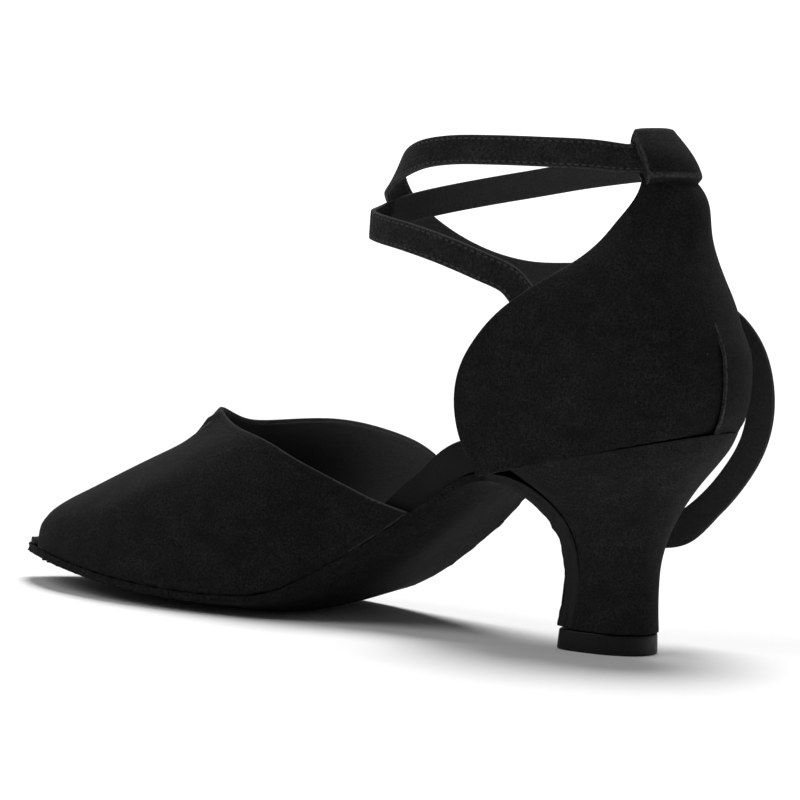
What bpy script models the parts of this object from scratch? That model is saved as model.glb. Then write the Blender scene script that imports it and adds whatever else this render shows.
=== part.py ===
"""A right ballroom dance shoe: peep-toe vamp, open waist, closed heel counter that rises to a
narrow loop, one long ankle strap wound twice, flared covered heel and a napped suede sole.

Metres, +Z up, toe towards +Y, the wearer's left towards -X, so -X is the shoe's inner (medial)
side. It is modelled with y = 0 at the back of the heel seat and is then set down with the
bottom centre of its box on the origin."""

import math

import bpy
import numpy as np

# Lengths, widths and heights of the last
SOLE_LENGTH = 0.2265  # back of the heel seat to the tip of the sole
BALL_WIDTH = 0.0715  # widest part of the sole, across the ball
HEEL_HEIGHT = 0.0620  # floor to the back of the heel seat
TOE_SPRING = 0.0084  # rise of the sole's tip over the floor
EDGE_RISE = 0.0034  # how far the sole's edge lifts over its middle, at the ball
INSTEP_HEIGHT = 0.0510  # floor to the top of the last, under the throat
THROAT_PEAK = 0.0060  # the pinched point of the throat stands this much over the last

FLAT_MIDDLE = 0.33  # this share of the sole's width doesn't lift

THROAT_WIDTH = 0.0062  # and falls away over this distance to each side

# Heel
SEAT_WIDTH = 0.0464
SEAT_LENGTH = 0.0595  # back of the seat to the front lip of the heel
SEAT_FALL = 0.0146  # the lip lies this much lower than the back
LIFT_WIDTH = 0.0246
LIFT_LENGTH = 0.0252
LIFT_THICKNESS = 0.0055
LIFT_FRONT = 0.0445  # back of the seat to the front of the lift

# Counter, the closed back part of the upper
COUNTER_WIDTH = 0.0550
COUNTER_RISE = 0.0778  # back of the seat to the top edge of its neck
COUNTER_REACH = 0.0712  # back of the seat to the foremost point of its side
LOOP_OVERHANG = 0.0112  # the loop reaches this far round each side of the neck

# Ankle strap
STRAP_WIDTH = 0.0080
STRAP_THICKNESS = 0.0015
ANKLE_LENGTH = 0.0950  # neck to the front of the strap's rings
ANKLE_WIDTH = 0.0560
STRAP_TIP = (0.72, 0.25)  # widths of the last two rings of its rounded tip, as shares
LEAD_IN = 1.18  # it follows the neck over this share of the loop's reach
STRAP_DROP = 0.1050  # height of the strap's second turn less that of its hanging tip

# Thicknesses
OUTSOLE_THICKNESS = 0.0022
INSOLE_THICKNESS = 0.0026  # under the forefoot and the heel
ARCH_THICKNESS = 0.0066  # where the wrapped board shows at the waist
ARCH_PAD = 0.0030  # the pad adds this at the inner side of the waist
VAMP_WALL = 0.0018
COUNTER_WALL = 0.0020
STRIP_THICKNESS = 0.0012
STRIP_WIDTH = 0.0176
LOOP_WALL = 0.0011
LOOP_FLARE = 0.30  # its ends stand off the neck by this share more
LOOP_CROWN = 0.0026  # the fold's top over the top edge of the neck
LOOP_ROUNDING = 0.0022  # and how far its outer edge is rounded over
LOOP_SHOULDER = 0.7  # share of that height where the rounding starts
LOOP_EASE = 0.0005  # the tunnel narrows by this above and below the strap
HEM_THICKNESS = 0.0007  # the loop's wall is pared to this where it is stitched down

# Clearances
GAP = 0.0003  # between pieces that touch
STRAP_CLEARANCE = 0.0005  # under the strap inside its loop, and twice this over it
SOLE_MARGIN = 0.0005  # the outsole's edge stands proud of the upper by this
WAIST_MARGIN = 0.0007  # and of the insole's bare edge at the waist

# Places along the shoe where one shape passes into the next, as start and end. The first group
# are shares of SEAT_LENGTH and the second of SOLE_LENGTH, from the back of the seat.
WAIST_STARTS = (0.773, 1.109)
SEAT_ENDS = (1.008, 1.244)
VAMP_COVERS = (1.160, 1.361)
WAIST_EDGE = 1.143
WAIST_ENDS = (0.3797, 0.4945)
TOE_THINS = (0.900, 0.990)
THROAT_FADES = 0.036  # share of SOLE_LENGTH behind the throat
TOE_CLEAR = 0.003  # share of SOLE_LENGTH that the vamp's toe edge clears the insole by
TOE_SLANT = 0.4  # the margin grows by this share where the toe's outline runs in
TOE_THINNING = 0.45  # share of the insole's thickness that is gone at its tip
MARGIN_LIMIT = 0.45  # the insole's margin takes up to this share of the sole's width
PAD_CURVE = 1.5  # exponent of the arch pad's rise towards the inner edge
BED_STEP = 0.0008  # the bed leaves the seat's plane this far in front of the seat
BED_EASE = 0.0035  # and meets the sole over this length

# The outsole from its tip, along the floor, up the arch and down the breast of the heel.
# along: share of SOLE_LENGTH; arch: share of HEEL_HEIGHT; toe: share of TOE_SPRING;
# medial, lateral: the edges, shares of BALL_WIDTH; rises of the edges: shares of EDGE_RISE
SOLE_COLUMNS = ("along", "arch", "toe", "medial", "lateral", "medial_rise", "lateral_rise")
SOLE_SECTIONS = (
    (1.000, 0.000, 1.00, -0.058, -0.046, 0.05, 0.05),
    (0.997, 0.000, 0.99, -0.078, -0.022, 0.08, 0.08),
    (0.987, 0.000, 0.97, -0.134, 0.042, 0.20, 0.20),
    (0.969, 0.000, 0.88, -0.201, 0.126, 0.42, 0.42),
    (0.942, 0.000, 0.74, -0.271, 0.218, 0.72, 0.70),
    (0.903, 0.000, 0.56, -0.344, 0.327, 0.88, 0.85),
    (0.850, 0.000, 0.36, -0.408, 0.414, 0.97, 0.92),
    (0.788, 0.000, 0.17, -0.459, 0.478, 1.00, 0.95),
    (0.718, 0.000, 0.04, -0.481, 0.512, 1.03, 0.95),
    (0.682, 0.000, 0.00, -0.482, 0.517, 1.02, 0.93),
    (0.647, 0.000, 0.00, -0.475, 0.515, 1.00, 0.90),
    (0.585, 0.000, 0.00, -0.447, 0.490, 1.14, 0.80),
    (0.550, 0.014, 0.00, -0.417, 0.463, 1.28, 0.66),
    (0.519, 0.050, 0.00, -0.378, 0.434, 1.50, 0.40),
    (0.488, 0.110, 0.00, -0.336, 0.399, 1.68, 0.00),
    (0.452, 0.194, 0.00, -0.302, 0.368, 1.74, -0.30),
    (0.417, 0.288, 0.00, -0.280, 0.342, 1.64, -0.46),
    (0.382, 0.390, 0.00, -0.266, 0.324, 1.55, -0.46),
    (0.351, 0.484, 0.00, -0.261, 0.311, 1.48, -0.40),
    (0.324, 0.570, 0.00, -0.264, 0.306, 1.34, -0.10),
    (0.305, 0.636, 0.00, -0.268, 0.300, 1.06, 0.10),
    (0.290, 0.680, 0.00, -0.270, 0.296, 0.74, 0.18),
    (0.277, 0.701, 0.00, -0.268, 0.288, 0.44, 0.16),
    (0.262, 0.700, 0.00, -0.258, 0.274, 0.22, 0.10),
    (0.240, 0.668, 0.00, -0.232, 0.242, 0.08, 0.05),
    (0.217, 0.606, 0.00, -0.190, 0.197, 0.00, 0.00),
    (0.2015, 0.532, 0.00, -0.160, 0.166, 0.00, 0.00),
    (0.1920, 0.450, 0.00, -0.142, 0.146, 0.00, 0.00),
    (0.1872, 0.355, 0.00, -0.134, 0.136, 0.00, 0.00),
    (0.1862, 0.255, 0.00, -0.136, 0.138, 0.00, 0.00),
    (0.1886, 0.160, 0.00, -0.142, 0.144, 0.00, 0.00),
    (0.1915, 0.1020, 0.00, -0.148, 0.150, 0.00, 0.00),
)
BREAST_ROW = 22  # the row where the outsole turns down the breast of the heel

# The vamp's last, from the toe to behind the throat. ridge: share of INSTEP_HEIGHT;
# fullness: exponent of the section's curve, 2 for an ellipse and more for a boxier section
LAST_COLUMNS = ("along", "ridge", "fullness")
LAST_SECTIONS = (
    (1.000, 0.262, 2.30),
    (0.985, 0.318, 2.30),
    (0.972, 0.368, 2.25),
    (0.930, 0.500, 2.15),
    (0.881, 0.613, 2.05),
    (0.820, 0.752, 2.00),
    (0.784, 0.832, 1.96),
    (0.748, 0.911, 1.90),
    (0.709, 1.000, 1.84),
    (0.673, 1.080, 1.86),
    (0.629, 1.160, 1.94),
    (0.563, 1.270, 2.04),
    (0.497, 1.370, 2.12),
    (0.430, 1.465, 2.20),
    (0.364, 1.550, 2.20),
)
RIDGE_SIDE = -0.056  # the ridge's place, share of BALL_WIDTH

# Where the vamp ends at the foot's side, over its section from the feather (0) to the ridge (90
# degrees). along: share of SOLE_LENGTH
TOPLINE_COLUMNS = ("angle", "along")
MEDIAL_TOPLINE = (
    (0.0, 0.386),
    (10.0, 0.430),
    (24.0, 0.484),
    (40.0, 0.545),
    (48.0, 0.576),
    (61.0, 0.632),
    (74.0, 0.674),
    (84.0, 0.700),
    (90.0, 0.709),
)
LATERAL_TOPLINE = (
    (0.0, 0.366),
    (19.0, 0.412),
    (38.0, 0.468),
    (51.0, 0.531),
    (64.0, 0.606),
    (70.0, 0.650),
    (78.0, 0.689),
    (90.0, 0.709),
)
# The toe opening's edge, over the whole section from the medial feather to the lateral one
TOE_OPENING = (
    (0.0, 0.943),
    (35.0, 0.955),
    (70.0, 0.969),
    (90.0, 0.977),
    (120.0, 0.9795),
    (180.0, 0.978),
)

# The counter, from the heel seat to the top of its neck. back, front: shares of COUNTER_REACH;
# back_rise, front_rise: heights over the seat's back, shares of COUNTER_RISE; width, where its
# sides run straight: share of COUNTER_WIDTH; round: the depth of its round back, share of
# COUNTER_REACH; squareness: exponent of the plan's curve
COUNTER_COLUMNS = ("back", "front", "back_rise", "front_rise", "width", "round", "squareness")
COUNTER_SECTIONS = (
    (0.040, 0.912, 0.0045, -0.206, 0.838, 0.330, 2.25),
    (0.006, 0.972, 0.066, -0.116, 0.905, 0.345, 2.25),
    (-0.010, 1.008, 0.160, 0.018, 0.968, 0.362, 2.25),
    (0.004, 0.997, 0.280, 0.142, 1.000, 0.358, 2.20),
    (0.039, 0.946, 0.395, 0.246, 0.985, 0.344, 2.15),
    (0.073, 0.868, 0.472, 0.352, 0.935, 0.320, 2.10),
    (0.111, 0.740, 0.542, 0.452, 0.862, 0.285, 2.05),
    (0.147, 0.597, 0.620, 0.536, 0.770, 0.248, 2.00),
    (0.176, 0.500, 0.684, 0.612, 0.665, 0.213, 2.00),
    (0.198, 0.444, 0.742, 0.690, 0.565, 0.190, 2.00),
    (0.215, 0.396, 0.800, 0.766, 0.505, 0.176, 2.00),
    (0.238, 0.366, 0.845, 0.838, 0.478, 0.168, 2.00),
    (0.284, 0.384, 0.880, 0.874, 0.474, 0.166, 2.00),
    (0.322, 0.420, 0.930, 0.920, 0.468, 0.168, 2.00),
    (0.366, 0.452, 0.985, 0.966, 0.480, 0.168, 2.00),
)
SIDE_TAPER = 0.075  # the sides close in by this share towards their front
STRIP_START = 0.008  # share of the way up that table where the back strip starts
HEM_LEVEL = 0.750  # where the hem of the loop is stitched
STRIP_END = HEM_LEVEL - 0.010
FLOOR_LEVEL = HEM_LEVEL + 0.034  # floor of the tunnel
FLOOR_RISE = 0.016  # its floor is rounded up by this share of the way
STRAP_LEVEL = HEM_LEVEL + 0.160  # middle of the strap

# The back strip. level: share of the way up the counter; width: share of STRIP_WIDTH
STRIP_COLUMNS = ("level", "width")
STRIP_WIDTHS = (
    (0.00, 0.80),
    (0.20, 1.00),
    (0.40, 0.90),
    (0.74, 0.62),
)

# The covered heel, from the top lift to the seat. back_height, front_height: shares of
# HEEL_HEIGHT; setback of its back from the seat's back: share of SEAT_LENGTH;
# width: share of SEAT_WIDTH
HEEL_MIDDLE = 0.56  # share of the section's depth where it is widest
HEEL_BACK_CURVE = (2.15, 2.15)  # exponents of the round back, across and along
HEEL_FRONT_CURVE = (4.0, 5.0)  # and of the flat front with its rounded corners
HEEL_COLUMNS = ("back_height", "front_height", "setback", "width")
HEEL_SECTIONS = (
    (0.0940, 0.094, 0.322, 0.512),
    (0.165, 0.165, 0.328, 0.488),
    (0.250, 0.250, 0.332, 0.468),
    (0.350, 0.345, 0.332, 0.458),
    (0.450, 0.432, 0.318, 0.474),
    (0.548, 0.508, 0.285, 0.526),
    (0.656, 0.573, 0.232, 0.614),
    (0.763, 0.625, 0.162, 0.728),
    (0.866, 0.668, 0.078, 0.858),
    (0.940, 0.700, 0.026, 0.944),
)

# The top lift, from the floor. up: share of LIFT_THICKNESS; size: share of its outline
LIFT_COLUMNS = ("up", "size")
LIFT_SECTIONS = (
    (0.000, 1.000),
    (0.073, 1.012),
    (0.927, 0.992),
    (1.000, 0.975),
)

# Where the strap is sewn inside the counter's medial side, and where it is fastened outside its
# lateral side. around, level: shares of the way round and up the counter
SEWN_COLUMNS = ("around", "level")
SEWN_START = (
    (-0.800, 0.374),
    (-0.880, 0.387),
    (-0.950, 0.401),
)
FASTENING = (
    (0.960, 0.476),
    (0.880, 0.464),
    (0.800, 0.446),
)

# The ankle strap's two turns round the ankle, from its start to the loop and from the loop to
# its fastening. across: share of ANKLE_WIDTH; along: share of ANKLE_LENGTH, from the neck;
# up: share of COUNTER_RISE, over the seat's back; lean: how far the strap's face turns upward
STRAP_COLUMNS = ("across", "along", "up", "lean")
FIRST_TURN = (
    (-0.334, 0.400, 0.474, 0.00),
    (-0.390, 0.490, 0.522, 0.00),
    (-0.428, 0.600, 0.570, 0.00),
    (-0.398, 0.735, 0.610, 0.00),
    (-0.289, 0.864, 0.636, 0.00),
    (-0.150, 0.933, 0.653, 0.00),
    (-0.036, 0.940, 0.669, 0.00),
    (0.054, 0.924, 0.696, 0.00),
    (0.143, 0.896, 0.721, 0.00),
    (0.232, 0.850, 0.746, 0.00),
    (0.312, 0.792, 0.770, 0.00),
    (0.393, 0.677, 0.806, 0.00),
    (0.432, 0.578, 0.832, 0.00),
    (0.430, 0.420, 0.869, 0.00),
    (0.366, 0.230, 0.900, 0.00),
)
SECOND_TURN = (
    (-0.340, 0.170, 0.923, 0.00),
    (-0.424, 0.300, 0.923, 0.00),
    (-0.466, 0.450, 0.922, 0.00),
    (-0.454, 0.590, 0.917, 0.00),
    (-0.416, 0.680, 0.903, 0.05),
    (-0.336, 0.752, 0.881, 0.15),
    (-0.214, 0.822, 0.855, 0.30),
    (-0.054, 0.892, 0.826, 0.42),
    (0.107, 0.946, 0.789, 0.46),
    (0.241, 0.963, 0.738, 0.40),
    (0.348, 0.944, 0.679, 0.30),
    (0.429, 0.899, 0.623, 0.20),
    (0.479, 0.837, 0.575, 0.12),
    (0.505, 0.742, 0.529, 0.05),
    (0.504, 0.609, 0.498, 0.00),
    (0.472, 0.440, 0.500, 0.00),
)
# The strap's hanging end, beyond the fastening on the lateral side. down: share of STRAP_DROP,
# below the second turn's height at the neck
END_COLUMNS = ("across", "along", "down")
HANGING_END = (
    (0.492, 0.010, 0.372),
    (0.514, -0.080, 0.422),
    (0.524, -0.138, 0.488),
    (0.528, -0.168, 0.568),
    (0.527, -0.176, 0.650),
    (0.521, -0.158, 0.735),
    (0.516, -0.112, 0.815),
    (0.512, -0.044, 0.895),
    (0.508, 0.040, 0.962),
    (0.506, 0.100, 0.996),
)

# How finely the curved pieces are divided
INSOLE_STATIONS = 43
INSOLE_SPACING = ((0.0, 0.12, 0.24, 0.48, 0.84, 1.0), (0.0, 0.04, 0.24, 0.36, 0.92, 1.0))
SOLE_STATIONS = 50
TIP_SHARE = 0.45
TIP_POWER = 2.4
VAMP_STATIONS = 18
VAMP_ACROSS = 36
VAMP_POWER = 1.25
COUNTER_AROUND = 35
COUNTER_LEVELS = 21
STRIP_STATIONS = 14
STRIP_ACROSS = 9
LOOP_RINGS = 15
FINE_STEPS = 200
HEEL_AROUND = 32
HEEL_LEVELS = 15
STRAP_STEP = 0.0040
LEAD_IN_POINTS = 11
ACROSS = np.linspace(-1.0, 1.0, 11)


def through(places, values, at):
    """The value at each place on a smooth curve through the rows, with no overshoot."""
    places = np.asarray(places, float)
    values = np.asarray(values, float)
    at = np.clip(at, places[0], places[-1])
    spans = np.diff(places)
    slopes = np.diff(values) / spans
    tangents = np.empty_like(values)
    tangents[0], tangents[-1] = slopes[0], slopes[-1]
    same_way = slopes[:-1] * slopes[1:] > 0
    weights = spans[:-1] + spans[1:]
    with np.errstate(divide="ignore", invalid="ignore"):
        middle = 3 * weights / (
            (weights + spans[1:]) / slopes[:-1] + (weights + spans[:-1]) / slopes[1:]
        )
    tangents[1:-1] = np.where(same_way, middle, 0.0)
    row = np.clip(np.searchsorted(places, at) - 1, 0, len(spans) - 1)
    t = (at - places[row]) / spans[row]
    return (
        values[row] * (1 + 2 * t) * (1 - t) ** 2
        + tangents[row] * spans[row] * t * (1 - t) ** 2
        + values[row + 1] * t**2 * (3 - 2 * t)
        + tangents[row + 1] * spans[row] * t**2 * (t - 1)
    )


def columns(names, rows):
    """A table as one array for each named column."""
    return dict(zip(names, np.array(rows, float).T))


def lengths_along(points):
    """Distance travelled along a line of points, from its start."""
    steps = np.linalg.norm(np.diff(points, axis=0), axis=1)
    return np.concatenate([[0.0], np.cumsum(steps)])


def through_points(length, points, slopes, at):
    """Smooth line through points with known slopes, at these distances along it."""
    row = np.clip(np.searchsorted(length, at) - 1, 0, len(length) - 2)
    span = (length[row + 1] - length[row])[:, None]
    t = (at - length[row])[:, None] / span
    return (
        points[row] * (1 + 2 * t) * (1 - t) ** 2
        + slopes[row] * span * t * (1 - t) ** 2
        + points[row + 1] * t**2 * (3 - 2 * t)
        + slopes[row + 1] * span * t**2 * (t - 1)
    )


def unit(vectors):
    return vectors / np.linalg.norm(vectors, axis=-1, keepdims=True)


def signed_power(value, exponent):
    return np.sign(value) * np.abs(value) ** exponent


def smooth_step(share):
    share = np.clip(share, 0.0, 1.0)
    return share * share * (3 - 2 * share)


class Sole:
    """The outsole's centre line in the YZ plane, with its edges and their rises, by distance."""

    table = columns(SOLE_COLUMNS, SOLE_SECTIONS)
    corners = np.stack(
        [
            table["along"] * SOLE_LENGTH,
            table["arch"] * HEEL_HEIGHT + table["toe"] * TOE_SPRING,
        ],
        axis=1,
    )
    places = lengths_along(corners)

    @classmethod
    def line(cls, at):
        """Points (y, z) of the underside's middle, and the unit normals towards the foot."""
        y = through(cls.places, cls.corners[:, 0], at)
        z = through(cls.places, cls.corners[:, 1], at)
        tangent = unit(np.stack([np.gradient(y, at), np.gradient(z, at)], axis=1))
        return np.stack([y, z], axis=1), np.stack([tangent[:, 1], -tangent[:, 0]], axis=1)

    @classmethod
    def column(cls, name, at, size):
        return through(cls.places, cls.table[name], at) * size

    @classmethod
    def rise(cls, at, across):
        """How far the underside lifts off its middle, across the sole from -1 to 1."""
        medial = cls.column("medial_rise", at, EDGE_RISE)
        lateral = cls.column("lateral_rise", at, EDGE_RISE)
        beyond = max(across**2 - FLAT_MIDDLE**2, 0.0) / (1 - FLAT_MIDDLE**2)
        return np.where(across < 0, medial, lateral) * beyond

    @classmethod
    def surface(cls, at, offset):
        """Grid of points this far above the underside, a row for each distance."""
        at = np.asarray(at, float)
        middle, normal = cls.line(at)
        medial = cls.column("medial", at, BALL_WIDTH)
        lateral = cls.column("lateral", at, BALL_WIDTH)
        grid = np.empty((len(at), len(ACROSS), 3))
        for j, across in enumerate(ACROSS):
            lift = cls.rise(at, across) + offset
            grid[:, j, 0] = medial + (lateral - medial) * (across + 1) / 2
            grid[:, j, 1:] = middle + normal * lift[:, None]
        return grid


def sole_places(count, first_row=0, last_row=-1):
    """Distances along the outsole, closer together at its tip, where its outline turns."""
    start, end = Sole.places[first_row], Sole.places[last_row]
    share = np.linspace(0, 1, count)
    return start + (end - start) * (TIP_SHARE * share**TIP_POWER + (1 - TIP_SHARE) * share)


def passed(y, ramp, size):
    """0 up to the start of a ramp and 1 from its end, smoothly between them."""
    start, end = ramp
    return smooth_step((y / size - start) / (end - start))


def seat_height(y):
    """Height of the heel seat's plane."""
    return HEEL_HEIGHT - SEAT_FALL * y / SEAT_LENGTH


FOREPART = sole_places(400, 0, BREAST_ROW)


def bed(y, across, offset=0.0):
    """Height of the surface that the insole and the vamp rest on, and its edges' places."""
    middle, normal = Sole.line(FOREPART)
    order = np.argsort(middle[:, 0])
    lift = Sole.rise(FOREPART, across) + OUTSOLE_THICKNESS + offset
    top = middle + normal * lift[:, None]
    sole = np.interp(y, top[order, 0], top[order, 1])
    seat = seat_height(y) + offset
    end = SEAT_LENGTH + BED_STEP + BED_EASE
    return sole + np.maximum(seat - sole, 0) * smooth_step((end - y) / BED_EASE)


def edges(y):
    """The outsole's medial and lateral top edges at this distance from the seat's back."""
    middle, normal = Sole.line(FOREPART)
    found = []
    for name, across in (("medial", -1.0), ("lateral", 1.0)):
        lift = Sole.rise(FOREPART, across) + OUTSOLE_THICKNESS
        along = middle[:, 0] + normal[:, 0] * lift
        order = np.argsort(along)
        side = Sole.column(name, FOREPART, BALL_WIDTH)
        found.append(np.interp(y, along[order], side[order]))
    return found


def new_mesh(name, points, faces, colour, roughness, sharp=35.0):
    """An object from points and faces, facing out, with a material of its own."""
    points = np.asarray(points, float)
    fans = np.array([(f[0], f[k], f[k + 1]) for f in faces for k in range(1, len(f) - 1)])
    a, b, c = (points[fans[:, k]] for k in range(3))
    if np.einsum("ij,ij->", a, np.cross(b, c)) < 0:
        faces = [tuple(reversed(face)) for face in faces]
    mesh = bpy.data.meshes.new(name)
    mesh.from_pydata([tuple(p) for p in points], [], [tuple(map(int, f)) for f in faces])
    mesh.validate()
    mesh.shade_smooth()
    mesh.set_sharp_from_angle(angle=math.radians(sharp))
    obj = bpy.data.objects.new(name, mesh)
    bpy.context.scene.collection.objects.link(obj)
    finish = bpy.data.materials.new(name)
    finish.use_nodes = True
    shader = finish.node_tree.nodes["Principled BSDF"]
    shader.inputs["Base Color"].default_value = (*colour, 1.0)
    shader.inputs["Roughness"].default_value = roughness
    shader.inputs["Metallic"].default_value = 0.0
    mesh.materials.append(finish)
    return obj


def sheet(outer, inner):
    """Points and faces of a closed wall between two grids of the same shape."""
    rows, cols = outer.shape[:2]
    points = np.concatenate([outer.reshape(-1, 3), inner.reshape(-1, 3)])
    index = np.arange(rows * cols).reshape(rows, cols)
    back = index + rows * cols
    faces = []
    for i in range(rows - 1):
        for j in range(cols - 1):
            faces.append((index[i, j], index[i, j + 1], index[i + 1, j + 1], index[i + 1, j]))
            faces.append((back[i, j], back[i + 1, j], back[i + 1, j + 1], back[i, j + 1]))
    rim = list(index[0]) + list(index[1:, -1]) + list(index[-1, -2::-1]) + list(index[-2:0:-1, 0])
    for a, b in zip(rim, rim[1:] + rim[:1]):
        faces.append((b, a, a + rows * cols, b + rows * cols))
    return points, faces


def loft(rings):
    """Points and faces of a solid through closed rings, with its two ends filled."""
    rings = np.asarray(rings, float)
    count, around = rings.shape[:2]
    points = list(rings.reshape(-1, 3))
    faces = []
    for i in range(count - 1):
        for j in range(around):
            k = (j + 1) % around
            low, high = i * around, (i + 1) * around
            faces.append((low + j, low + k, high + k, high + j))
    for ring, flip in ((0, True), (count - 1, False)):
        middle = len(points)
        points.append(rings[ring].mean(axis=0))
        for j in range(around):
            pair = (ring * around + j, ring * around + (j + 1) % around)
            faces.append((middle, *(pair[::-1] if flip else pair)))
    return np.array(points), faces


def inward(grid, depth, flip):
    """The grid moved by depth along its own normals."""
    along = np.gradient(grid, axis=0)
    across = np.gradient(grid, axis=1)
    normal = unit(np.cross(along, across))
    return grid + normal * depth * (-1 if flip else 1)


def make_outsole():
    """Split suede, nap down, in one piece from the toe to the foot of the heel's breast."""
    at = sole_places(SOLE_STATIONS)
    return new_mesh(
        "outsole",
        *sheet(Sole.surface(at, OUTSOLE_THICKNESS), Sole.surface(at, 0.0)),
        colour=(0.016, 0.015, 0.015),
        roughness=1.0,
    )


def make_insole():
    """The insole board in its wrapping, thin inside the upper and thick at the bare waist."""
    inset = COUNTER_WALL + 4 * GAP
    back = COUNTER_SECTIONS[0][0] * COUNTER_REACH + inset
    tip = SOLE_LENGTH - SOLE_MARGIN - 2 * GAP
    share = np.interp(np.linspace(0, 1, INSOLE_STATIONS), INSOLE_SPACING[0], INSOLE_SPACING[1])
    y = back + (tip - back) * share
    medial, lateral = edges(np.maximum(y, Sole.table["along"][BREAST_ROW - 1] * SOLE_LENGTH))
    hidden = passed(y, VAMP_COVERS, SEAT_LENGTH)
    under_vamp = SOLE_MARGIN + VAMP_WALL + 3 * GAP
    margin = WAIST_MARGIN + (under_vamp - WAIST_MARGIN) * hidden
    margin = margin * (1 + TOE_SLANT * passed(y, TOE_THINS, SOLE_LENGTH))
    margins = []
    for edge in (TOE_OPENING[0][1], TOE_OPENING[-1][1]):
        bare = passed(y, (edge + TOE_CLEAR, (1 + edge + TOE_CLEAR) / 2), SOLE_LENGTH)
        reach = margin + (SOLE_MARGIN - margin) * bare
        margins.append(np.minimum(reach, MARGIN_LIMIT * (lateral - medial)))
    half_seat = counter_half_width(0.0, y) - inset
    to_seat = 1 - passed(y, SEAT_ENDS, SEAT_LENGTH)
    medial = medial + margins[0]
    lateral = lateral - margins[1]
    medial = medial + (-half_seat - medial) * to_seat
    lateral = lateral + (half_seat - lateral) * to_seat
    waist = passed(y, WAIST_STARTS, SEAT_LENGTH) * (1 - passed(y, WAIST_ENDS, SOLE_LENGTH))
    thin_toe = 1 - TOE_THINNING * passed(y, TOE_THINS, SOLE_LENGTH)
    thickness = INSOLE_THICKNESS * thin_toe + (ARCH_THICKNESS - INSOLE_THICKNESS) * waist
    low = np.empty((len(y), len(ACROSS), 3))
    high = np.empty_like(low)
    full_medial, full_lateral = edges(np.maximum(y, WAIST_EDGE * SEAT_LENGTH))
    for j, across in enumerate(ACROSS):
        x = medial + (lateral - medial) * (across + 1) / 2
        over = 2 * (x - full_medial) / (full_lateral - full_medial) - 1
        under = bed_at(y, over) + GAP
        slope = np.gradient(bed_at(y, np.zeros_like(y)), y)
        pad = ARCH_PAD * waist * max(-across, 0.0) ** PAD_CURVE
        normal = unit(np.stack([-slope, np.ones_like(slope)], axis=1))
        low[:, j] = np.stack([x, y, under], axis=1)
        high[:, j, 0] = x
        high[:, j, 1:] = low[:, j, 1:] + normal * (thickness + pad)[:, None]
    return new_mesh(
        "insole", *sheet(high, low), colour=(0.017, 0.016, 0.016), roughness=0.75
    )


def bed_at(y, over):
    """Height of the outsole's top or the heel seat at each y and each share across."""
    over = np.clip(np.broadcast_to(over, y.shape), -1.0, 1.0)
    return np.array([bed(place, share) for place, share in zip(y, over)])


def make_vamp():
    """The front part of the upper: suede on a lining, open at the toe, the throat and below."""
    last = columns(LAST_COLUMNS, LAST_SECTIONS)
    order = slice(None, None, -1)
    last_along = last["along"][order] * SOLE_LENGTH
    angle = np.linspace(0.0, math.pi, VAMP_ACROSS)
    from_side = np.degrees(np.minimum(angle, math.pi - angle))
    medial_top = columns(TOPLINE_COLUMNS, MEDIAL_TOPLINE)
    lateral_top = columns(TOPLINE_COLUMNS, LATERAL_TOPLINE)
    top = np.where(
        angle <= math.pi / 2,
        through(medial_top["angle"], medial_top["along"], from_side),
        through(lateral_top["angle"], lateral_top["along"], from_side),
    )
    opening = columns(TOPLINE_COLUMNS, TOE_OPENING)
    toe = through(opening["angle"], opening["along"], np.degrees(angle))
    share = np.linspace(0, 1, VAMP_STATIONS) ** VAMP_POWER
    y = (toe + (top - toe) * share[:, None]) * SOLE_LENGTH
    ridge = through(last_along, last["ridge"][order], y) * INSTEP_HEIGHT
    power = 2 / through(last_along, last["fullness"][order], y)
    medial, lateral = edges(y)
    medial = medial + SOLE_MARGIN
    lateral = lateral - SOLE_MARGIN
    peak_side = RIDGE_SIDE * BALL_WIDTH
    side = np.where(angle <= math.pi / 2, medial, lateral)
    side_sign = np.where(angle <= math.pi / 2, -1.0, 1.0)
    x = peak_side + (side - peak_side) * np.abs(np.cos(angle)) ** power
    foot = np.array([bed_at(row, side_sign) for row in y]) + GAP
    z = foot + (ridge - foot) * np.sin(angle) ** power
    behind = (y / SOLE_LENGTH - MEDIAL_TOPLINE[-1][1]) / THROAT_FADES
    near_throat = np.exp(-(((x - peak_side) / THROAT_WIDTH) ** 2)) * (1 - smooth_step(behind))
    z = z + THROAT_PEAK * near_throat
    outer = np.stack([x, y, z], axis=-1)
    inner = inward(outer, VAMP_WALL, flip=True)
    inner[:, 0, 2] = outer[:, 0, 2]
    inner[:, -1, 2] = outer[:, -1, 2]
    return new_mesh(
        "vamp", *sheet(outer, inner), colour=(0.015, 0.014, 0.014), roughness=0.95
    )


def counter_level(level):
    """One row's values of the counter's table at this share of the way up."""
    table = columns(COUNTER_COLUMNS, COUNTER_SECTIONS)
    rows = np.linspace(0, 1, len(COUNTER_SECTIONS))
    return {name: float(through(rows, values, level)) for name, values in table.items()}


def counter_half_width(level, y):
    """Half the counter's outer width at this level and distance from the seat's back."""
    places = np.linspace(0, 1, FINE_STEPS)
    side = np.array([counter_point(place, level) for place in places])
    return np.interp(y, side[:, 1], side[:, 0])


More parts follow.
